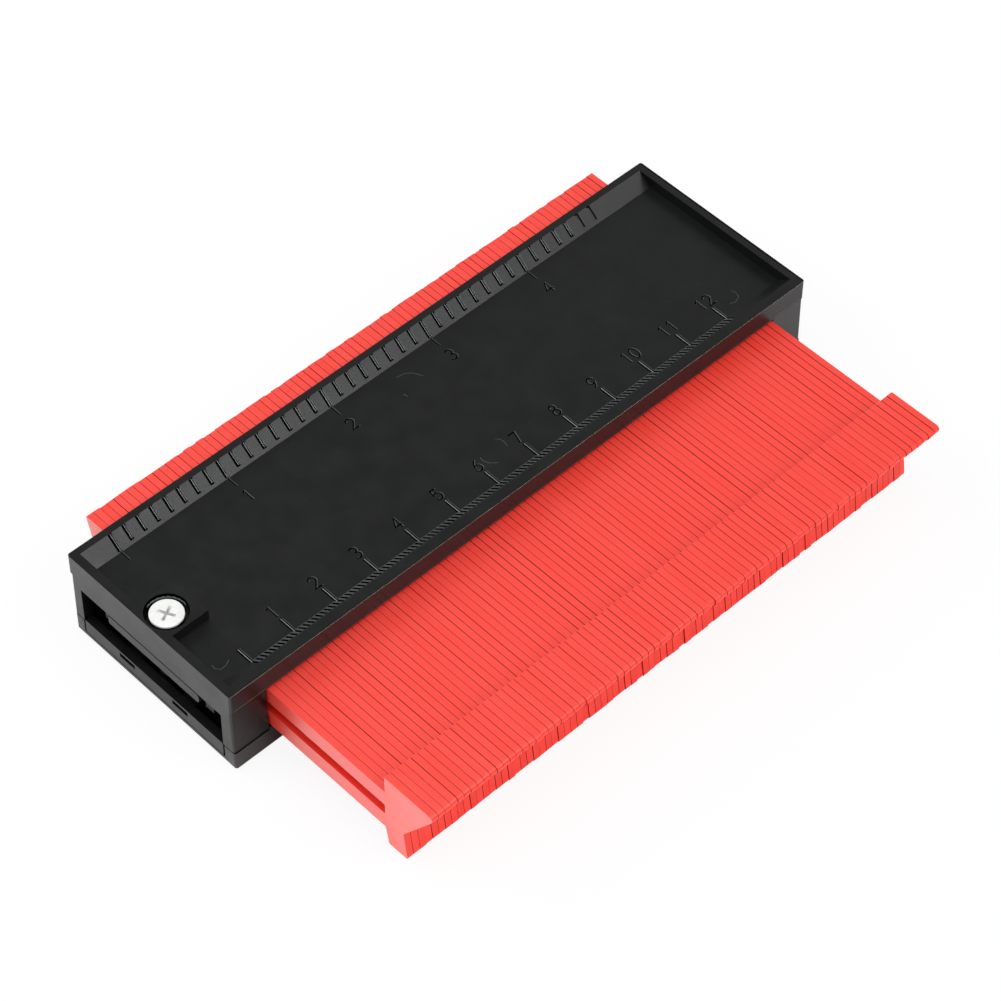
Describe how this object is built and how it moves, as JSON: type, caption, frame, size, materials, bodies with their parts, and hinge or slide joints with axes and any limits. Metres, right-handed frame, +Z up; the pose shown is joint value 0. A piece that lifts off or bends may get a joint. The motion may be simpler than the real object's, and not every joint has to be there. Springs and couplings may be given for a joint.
{
  "type": "contour gauge",
  "caption": "Handheld contour gauge: a plastic body with a sloped scale tray and a row of thin slotted pins that slide through it to copy a profile.",
  "frame": {"origin": "centre of the body's flat underside", "axes": "+X along the body towards the end without the screw, +Y the way the pins slide, away from their noses, +Z up through the scale tray"},
  "size_m": [0.1456, 0.0922, 0.0217],
  "materials": {
    "black_plastic": "fine satin moulded black",
    "red_plastic": "satin moulded red",
    "zinc_steel": "bright zinc plated",
    "felt": "dense felt strip"
  },
  "bodies": {
    "housing": {"upper_cover": "black_plastic", "lower_cover": "black_plastic", "guide_bar": "black_plastic", "friction_pad_upper": "felt", "friction_pad_lower": "felt"},
    "screw": {"tension_screw": "zinc_steel"},
    "pin_pair_01": {"pin_pair_01": "red_plastic"},
    "pin_pair_02": {"pin_pair_02": "red_plastic"},
    "pin_pair_03": {"pin_pair_03": "red_plastic"},
    "pin_pair_04": {"pin_pair_04": "red_plastic"},
    "pin_pair_05": {"pin_pair_05": "red_plastic"},
    "pin_pair_06": {"pin_pair_06": "red_plastic"},
    "pin_pair_07": {"pin_pair_07": "red_plastic"},
    "pin_pair_08": {"pin_pair_08": "red_plastic"},
    "pin_pair_09": {"pin_pair_09": "red_plastic"},
    "pin_pair_10": {"pin_pair_10": "red_plastic"},
    "pin_pair_11": {"pin_pair_11": "red_plastic"},
    "pin_pair_12": {"pin_pair_12": "red_plastic"},
    "pin_pair_13": {"pin_pair_13": "red_plastic"},
    "pin_pair_14": {"pin_pair_14": "red_plastic"},
    "pin_pair_15": {"pin_pair_15": "red_plastic"},
    "pin_pair_16": {"pin_pair_16": "red_plastic"},
    "pin_pair_17": {"pin_pair_17": "red_plastic"},
    "pin_pair_18": {"pin_pair_18": "red_plastic"},
    "pin_pair_19": {"pin_pair_19": "red_plastic"},
    "pin_pair_20": {"pin_pair_20": "red_plastic"},
    "pin_pair_21": {"pin_pair_21": "red_plastic"},
    "pin_pair_22": {"pin_pair_22": "red_plastic"},
    "pin_pair_23": {"pin_pair_23": "red_plastic"},
    "pin_pair_24": {"pin_pair_24": "red_plastic"},
    "pin_pair_25": {"pin_pair_25": "red_plastic"},
    "pin_pair_26": {"pin_pair_26": "red_plastic"},
    "pin_pair_27": {"pin_pair_27": "red_plastic"},
    "pin_pair_28": {"pin_pair_28": "red_plastic"},
    "pin_pair_29": {"pin_pair_29": "red_plastic"},
    "pin_pair_30": {"pin_pair_30": "red_plastic"},
    "pin_pair_31": {"pin_pair_31": "red_plastic"},
    "pin_pair_32": {"pin_pair_32": "red_plastic"},
    "pin_pair_33": {"pin_pair_33": "red_plastic"},
    "pin_pair_34": {"pin_pair_34": "red_plastic"},
    "pin_pair_35": {"pin_pair_35": "red_plastic"},
    "pin_pair_36": {"pin_pair_36": "red_plastic"},
    "pin_pair_37": {"pin_pair_37": "red_plastic"},
    "pin_pair_38": {"pin_pair_38": "red_plastic"},
    "pin_pair_39": {"pin_pair_39": "red_plastic"},
    "pin_pair_40": {"pin_pair_40": "red_plastic"},
    "pin_pair_41": {"pin_pair_41": "red_plastic"},
    "pin_pair_42": {"pin_pair_42": "red_plastic"}
  },
  "joints": [
    {"name": "screw_turn", "type": "hinge", "parent": "housing", "child": "screw", "pos_m": [-0.06825, 0, 0.0196], "axis": [0, 0, 1], "range_deg": [-180, 180]},
    {"name": "pin_pair_01_slide", "type": "slide", "parent": "housing", "child": "pin_pair_01", "axis": [0, 1, 0], "range_m": [0, 0.0298]},
    {"name": "pin_pair_02_slide", "type": "slide", "parent": "housing", "child": "pin_pair_02", "axis": [0, 1, 0], "range_m": [0, 0.0298]},
    {"name": "pin_pair_03_slide", "type": "slide", "parent": "housing", "child": "pin_pair_03", "axis": [0, 1, 0], "range_m": [0, 0.0298]},
    {"name": "pin_pair_04_slide", "type": "slide", "parent": "housing", "child": "pin_pair_04", "axis": [0, 1, 0], "range_m": [0, 0.0298]},
    {"name": "pin_pair_05_slide", "type": "slide", "parent": "housing", "child": "pin_pair_05", "axis": [0, 1, 0], "range_m": [0, 0.0298]},
    {"name": "pin_pair_06_slide", "type": "slide", "parent": "housing", "child": "pin_pair_06", "axis": [0, 1, 0], "range_m": [0, 0.0298]},
    {"name": "pin_pair_07_slide", "type": "slide", "parent": "housing", "child": "pin_pair_07", "axis": [0, 1, 0], "range_m": [0, 0.0298]},
    {"name": "pin_pair_08_slide", "type": "slide", "parent": "housing", "child": "pin_pair_08", "axis": [0, 1, 0], "range_m": [0, 0.0298]},
    {"name": "pin_pair_09_slide", "type": "slide", "parent": "housing", "child": "pin_pair_09", "axis": [0, 1, 0], "range_m": [0, 0.0298]},
    {"name": "pin_pair_10_slide", "type": "slide", "parent": "housing", "child": "pin_pair_10", "axis": [0, 1, 0], "range_m": [0, 0.0298]},
    {"name": "pin_pair_11_slide", "type": "slide", "parent": "housing", "child": "pin_pair_11", "axis": [0, 1, 0], "range_m": [0, 0.0298]},
    {"name": "pin_pair_12_slide", "type": "slide", "parent": "housing", "child": "pin_pair_12", "axis": [0, 1, 0], "range_m": [0, 0.0298]},
    {"name": "pin_pair_13_slide", "type": "slide", "parent": "housing", "child": "pin_pair_13", "axis": [0, 1, 0], "range_m": [0, 0.0298]},
    {"name": "pin_pair_14_slide", "type": "slide", "parent": "housing", "child": "pin_pair_14", "axis": [0, 1, 0], "range_m": [0, 0.0298]},
    {"name": "pin_pair_15_slide", "type": "slide", "parent": "housing", "child": "pin_pair_15", "axis": [0, 1, 0], "range_m": [0, 0.0298]},
    {"name": "pin_pair_16_slide", "type": "slide", "parent": "housing", "child": "pin_pair_16", "axis": [0, 1, 0], "range_m": [0, 0.0298]},
    {"name": "pin_pair_17_slide", "type": "slide", "parent": "housing", "child": "pin_pair_17", "axis": [0, 1, 0], "range_m": [0, 0.0298]},
    {"name": "pin_pair_18_slide", "type": "slide", "parent": "housing", "child": "pin_pair_18", "axis": [0, 1, 0], "range_m": [0, 0.0298]},
    {"name": "pin_pair_19_slide", "type": "slide", "parent": "housing", "child": "pin_pair_19", "axis": [0, 1, 0], "range_m": [0, 0.0298]},
    {"name": "pin_pair_20_slide", "type": "slide", "parent": "housing", "child": "pin_pair_20", "axis": [0, 1, 0], "range_m": [0, 0.0298]},
    {"name": "pin_pair_21_slide", "type": "slide", "parent": "housing", "child": "pin_pair_21", "axis": [0, 1, 0], "range_m": [0, 0.0298]},
    {"name": "pin_pair_22_slide", "type": "slide", "parent": "housing", "child": "pin_pair_22", "axis": [0, 1, 0], "range_m": [0, 0.0298]},
    {"name": "pin_pair_23_slide", "type": "slide", "parent": "housing", "child": "pin_pair_23", "axis": [0, 1, 0], "range_m": [0, 0.0298]},
    {"name": "pin_pair_24_slide", "type": "slide", "parent": "housing", "child": "pin_pair_24", "axis": [0, 1, 0], "range_m": [0, 0.0298]},
    {"name": "pin_pair_25_slide", "type": "slide", "parent": "housing", "child": "pin_pair_25", "axis": [0, 1, 0], "range_m": [0, 0.0298]},
    {"name": "pin_pair_26_slide", "type": "slide", "parent": "housing", "child": "pin_pair_26", "axis": [0, 1, 0], "range_m": [0, 0.0298]},
    {"name": "pin_pair_27_slide", "type": "slide", "parent": "housing", "child": "pin_pair_27", "axis": [0, 1, 0], "range_m": [0, 0.0298]},
    {"name": "pin_pair_28_slide", "type": "slide", "parent": "housing", "child": "pin_pair_28", "axis": [0, 1, 0], "range_m": [0, 0.0298]},
    {"name": "pin_pair_29_slide", "type": "slide", "parent": "housing", "child": "pin_pair_29", "axis": [0, 1, 0], "range_m": [0, 0.0298]},
    {"name": "pin_pair_30_slide", "type": "slide", "parent": "housing", "child": "pin_pair_30", "axis": [0, 1, 0], "range_m": [0, 0.0298]},
    {"name": "pin_pair_31_slide", "type": "slide", "parent": "housing", "child": "pin_pair_31", "axis": [0, 1, 0], "range_m": [0, 0.0298]},
    {"name": "pin_pair_32_slide", "type": "slide", "parent": "housing", "child": "pin_pair_32", "axis": [0, 1, 0], "range_m": [0, 0.0298]},
    {"name": "pin_pair_33_slide", "type": "slide", "parent": "housing", "child": "pin_pair_33", "axis": [0, 1, 0], "range_m": [0, 0.0298]},
    {"name": "pin_pair_34_slide", "type": "slide", "parent": "housing", "child": "pin_pair_34", "axis": [0, 1, 0], "range_m": [0, 0.0298]},
    {"name": "pin_pair_35_slide", "type": "slide", "parent": "housing", "child": "pin_pair_35", "axis": [0, 1, 0], "range_m": [0, 0.0298]},
    {"name": "pin_pair_36_slide", "type": "slide", "parent": "housing", "child": "pin_pair_36", "axis": [0, 1, 0], "range_m": [0, 0.0298]},
    {"name": "pin_pair_37_slide", "type": "slide", "parent": "housing", "child": "pin_pair_37", "axis": [0, 1, 0], "range_m": [0, 0.0298]},
    {"name": "pin_pair_38_slide", "type": "slide", "parent": "housing", "child": "pin_pair_38", "axis": [0, 1, 0], "range_m": [0, 0.0298]},
    {"name": "pin_pair_39_slide", "type": "slide", "parent": "housing", "child": "pin_pair_39", "axis": [0, 1, 0], "range_m": [0, 0.0298]},
    {"name": "pin_pair_40_slide", "type": "slide", "parent": "housing", "child": "pin_pair_40", "axis": [0, 1, 0], "range_m": [0, 0.0298]},
    {"name": "pin_pair_41_slide", "type": "slide", "parent": "housing", "child": "pin_pair_41", "axis": [0, 1, 0], "range_m": [0, 0.0298]},
    {"name": "pin_pair_42_slide", "type": "slide", "parent": "housing", "child": "pin_pair_42", "axis": [0, 1, 0], "range_m": [0, 0.0298]}
  ]
}
